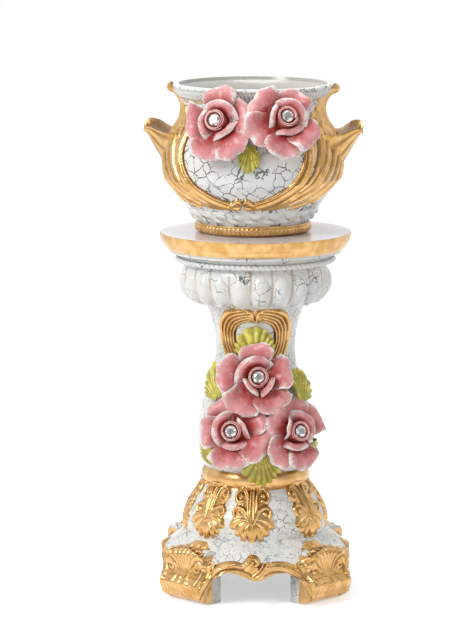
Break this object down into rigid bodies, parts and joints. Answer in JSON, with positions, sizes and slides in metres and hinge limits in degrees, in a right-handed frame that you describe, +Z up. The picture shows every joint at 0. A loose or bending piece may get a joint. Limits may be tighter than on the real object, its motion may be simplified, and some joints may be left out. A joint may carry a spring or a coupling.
{
  "type": "jardiniere on stand",
  "caption": "Glazed ceramic jardiniere standing loose on a baluster pedestal with gilded relief, applied clay roses and leaves.",
  "frame": {"origin": "on the floor under the centre of the pedestal", "axes": "+Z up, front of the flowers towards -Y, +X to the viewer's right"},
  "size_m": [0.2622, 0.2557, 0.6167],
  "materials": {
    "crackle_glaze": "gloss, dark crackle lines",
    "capital_glaze": "gloss, crackle, gilded rim",
    "pot_glaze": "gloss, dark crackle lines",
    "gold_lustre": "gold lustre, browned hollows",
    "petal_glaze": "gloss pink, white edges",
    "bud_glaze": "gloss deep pink",
    "leaf_glaze": "gloss yellow green",
    "cut_stone": "foil backed cut glass"
  },
  "bodies": {
    "stand": {"apron_scroll_back": "gold_lustre", "apron_scroll_front": "gold_lustre", "apron_scroll_left": "gold_lustre", "apron_scroll_right": "gold_lustre", "base_casting": "crackle_glaze", "bell_sprig_1": "gold_lustre", "bell_sprig_2": "gold_lustre", "bell_sprig_3": "gold_lustre", "bell_sprig_4": "gold_lustre", "bell_sprig_5": "gold_lustre", "bell_sprig_6": "gold_lustre", "bell_sprig_7": "gold_lustre", "bell_sprig_8": "gold_lustre", "capital_casting": "capital_glaze", "column_casting": "crackle_glaze", "column_frame_back": "gold_lustre", "column_frame_front": "gold_lustre", "foot_shell_back_left": "gold_lustre", "foot_shell_back_right": "gold_lustre", "foot_shell_front_left": "gold_lustre", "foot_shell_front_right": "gold_lustre", "leaf_bottom": "leaf_glaze", "leaf_lower_left": "leaf_glaze", "leaf_lower_right": "leaf_glaze", "leaf_top": "leaf_glaze", "leaf_upper_left": "leaf_glaze", "leaf_upper_right": "leaf_glaze", "left_rose_bud": "bud_glaze", "left_rose_inner_petals": "petal_glaze", "left_rose_outer_petals": "petal_glaze", "left_rose_stone": "cut_stone", "right_rose_bud": "bud_glaze", "right_rose_inner_petals": "petal_glaze", "right_rose_outer_petals": "petal_glaze", "right_rose_stone": "cut_stone", "top_rose_bud": "bud_glaze", "top_rose_inner_petals": "petal_glaze", "top_rose_outer_petals": "petal_glaze", "top_rose_stone": "cut_stone"},
    "pot": {"handle_left": "gold_lustre", "handle_right": "gold_lustre", "neck_leaf_left": "gold_lustre", "neck_leaf_right": "gold_lustre", "pot_bowl": "pot_glaze", "pot_frame_back": "gold_lustre", "pot_frame_front": "gold_lustre", "pot_leaf_centre": "leaf_glaze", "pot_leaf_right": "leaf_glaze", "pot_left_rose_bud": "bud_glaze", "pot_left_rose_inner_petals": "petal_glaze", "pot_left_rose_outer_petals": "petal_glaze", "pot_left_rose_stone": "cut_stone", "pot_right_rose_bud": "bud_glaze", "pot_right_rose_inner_petals": "petal_glaze", "pot_right_rose_outer_petals": "petal_glaze", "pot_right_rose_stone": "cut_stone"}
  },
  "joints": [
    {"name": "pot_lift", "type": "slide", "parent": "stand", "child": "pot", "axis": [0, 0, 1], "range_m": [0, 0.2]}
  ]
}
